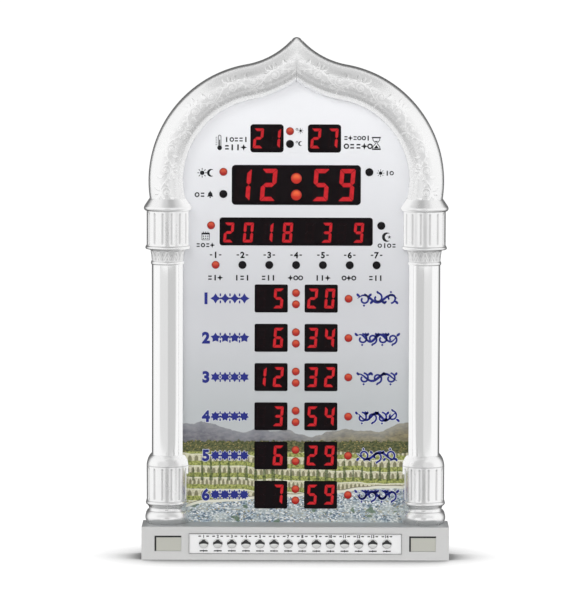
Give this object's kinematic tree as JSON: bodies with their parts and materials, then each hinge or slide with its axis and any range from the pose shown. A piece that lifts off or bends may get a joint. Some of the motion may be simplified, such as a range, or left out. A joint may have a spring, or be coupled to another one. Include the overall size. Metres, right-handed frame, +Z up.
{
  "type": "azan clock",
  "caption": "Prayer-time clock: an ogee-arched, columned housing on a plinth, with red digit displays, lamps and a row of push buttons.",
  "frame": {"origin": "middle of the underside, where the plinth rests", "axes": "+Z up, +Y to the back, +X to the right as seen from the front"},
  "size_m": [0.43, 0.075, 0.7284],
  "materials": {
    "engraved_silver": "satin silver plating over relief",
    "polished_silver": "polished silver plating",
    "plinth_silver": "smooth silver lacquer",
    "back_plastic": "fine spark texture",
    "screw_steel": "zinc plated",
    "printed_panel": "printed, satin",
    "inlay_plastic": "warm grey, satin",
    "bezel_plastic": "white, satin",
    "button_silver": "pale silver with a black wedge",
    "black_plastic": "plain",
    "circuit_board": "green solder mask",
    "speaker_steel": "black",
    "ferrite": "dull",
    "speaker_paper": "paper cone",
    "display_black": "black face with red light tracks",
    "lamp_plastic": "clear coloured dome"
  },
  "bodies": {
    "housing": {"arch_moulding": "engraved_silver", "button_bezel": "bezel_plastic", "button_board": "circuit_board", "capital_left": "engraved_silver", "capital_right": "engraved_silver", "coin_cell_holder": "black_plastic", "column_foot_left": "engraved_silver", "column_foot_right": "engraved_silver", "column_shaft_left": "polished_silver", "column_shaft_right": "polished_silver", "countdown_digits": "display_black", "cover_screws": "screw_steel", "date_digits": "display_black", "day_lamps": "lamp_plastic", "dc_jack": "black_plastic", "display_board": "circuit_board", "driver_chips": "black_plastic", "front_panel": "printed_panel", "ir_receiver": "black_plastic", "plinth": "plinth_silver", "plinth_base_plate": "back_plastic", "plinth_inlay_left": "inlay_plastic", "plinth_inlay_right": "inlay_plastic", "rear_cover": "back_plastic", "row_1_hour_digits": "display_black", "row_1_minute_digits": "display_black", "row_2_hour_digits": "display_black", "row_2_minute_digits": "display_black", "row_3_hour_digits": "display_black", "row_3_minute_digits": "display_black", "row_4_hour_digits": "display_black", "row_4_minute_digits": "display_black", "row_5_hour_digits": "display_black", "row_5_minute_digits": "display_black", "row_6_hour_digits": "display_black", "row_6_minute_digits": "display_black", "row_colon_lamps": "lamp_plastic", "row_marker_lamps": "lamp_plastic", "speaker_cone": "speaker_paper", "speaker_frame": "speaker_steel", "speaker_magnet": "ferrite", "status_lamps": "lamp_plastic", "tact_switches": "black_plastic", "temperature_digits": "display_black", "time_colon_lamps": "lamp_plastic", "time_digits": "display_black"},
    "button_01": {"button_01": "button_silver"},
    "button_02": {"button_02": "button_silver"},
    "button_03": {"button_03": "button_silver"},
    "button_04": {"button_04": "button_silver"},
    "button_05": {"button_05": "button_silver"},
    "button_06": {"button_06": "button_silver"},
    "button_07": {"button_07": "button_silver"},
    "button_08": {"button_08": "button_silver"},
    "button_09": {"button_09": "button_silver"},
    "button_10": {"button_10": "button_silver"},
    "button_11": {"button_11": "button_silver"},
    "button_12": {"button_12": "button_silver"},
    "button_13": {"button_13": "button_silver"},
    "button_14": {"button_14": "button_silver"}
  },
  "joints": [
    {"name": "button_01_press", "type": "slide", "parent": "housing", "child": "button_01", "axis": [0, 1, 0], "range_m": [0, 0.001], "stiffness_N_per_m": 1500},
    {"name": "button_02_press", "type": "slide", "parent": "housing", "child": "button_02", "axis": [0, 1, 0], "range_m": [0, 0.001], "stiffness_N_per_m": 1500},
    {"name": "button_03_press", "type": "slide", "parent": "housing", "child": "button_03", "axis": [0, 1, 0], "range_m": [0, 0.001], "stiffness_N_per_m": 1500},
    {"name": "button_04_press", "type": "slide", "parent": "housing", "child": "button_04", "axis": [0, 1, 0], "range_m": [0, 0.001], "stiffness_N_per_m": 1500},
    {"name": "button_05_press", "type": "slide", "parent": "housing", "child": "button_05", "axis": [0, 1, 0], "range_m": [0, 0.001], "stiffness_N_per_m": 1500},
    {"name": "button_06_press", "type": "slide", "parent": "housing", "child": "button_06", "axis": [0, 1, 0], "range_m": [0, 0.001], "stiffness_N_per_m": 1500},
    {"name": "button_07_press", "type": "slide", "parent": "housing", "child": "button_07", "axis": [0, 1, 0], "range_m": [0, 0.001], "stiffness_N_per_m": 1500},
    {"name": "button_08_press", "type": "slide", "parent": "housing", "child": "button_08", "axis": [0, 1, 0], "range_m": [0, 0.001], "stiffness_N_per_m": 1500},
    {"name": "button_09_press", "type": "slide", "parent": "housing", "child": "button_09", "axis": [0, 1, 0], "range_m": [0, 0.001], "stiffness_N_per_m": 1500},
    {"name": "button_10_press", "type": "slide", "parent": "housing", "child": "button_10", "axis": [0, 1, 0], "range_m": [0, 0.001], "stiffness_N_per_m": 1500},
    {"name": "button_11_press", "type": "slide", "parent": "housing", "child": "button_11", "axis": [0, 1, 0], "range_m": [0, 0.001], "stiffness_N_per_m": 1500},
    {"name": "button_12_press", "type": "slide", "parent": "housing", "child": "button_12", "axis": [0, 1, 0], "range_m": [0, 0.001], "stiffness_N_per_m": 1500},
    {"name": "button_13_press", "type": "slide", "parent": "housing", "child": "button_13", "axis": [0, 1, 0], "range_m": [0, 0.001], "stiffness_N_per_m": 1500},
    {"name": "button_14_press", "type": "slide", "parent": "housing", "child": "button_14", "axis": [0, 1, 0], "range_m": [0, 0.001], "stiffness_N_per_m": 1500}
  ]
}
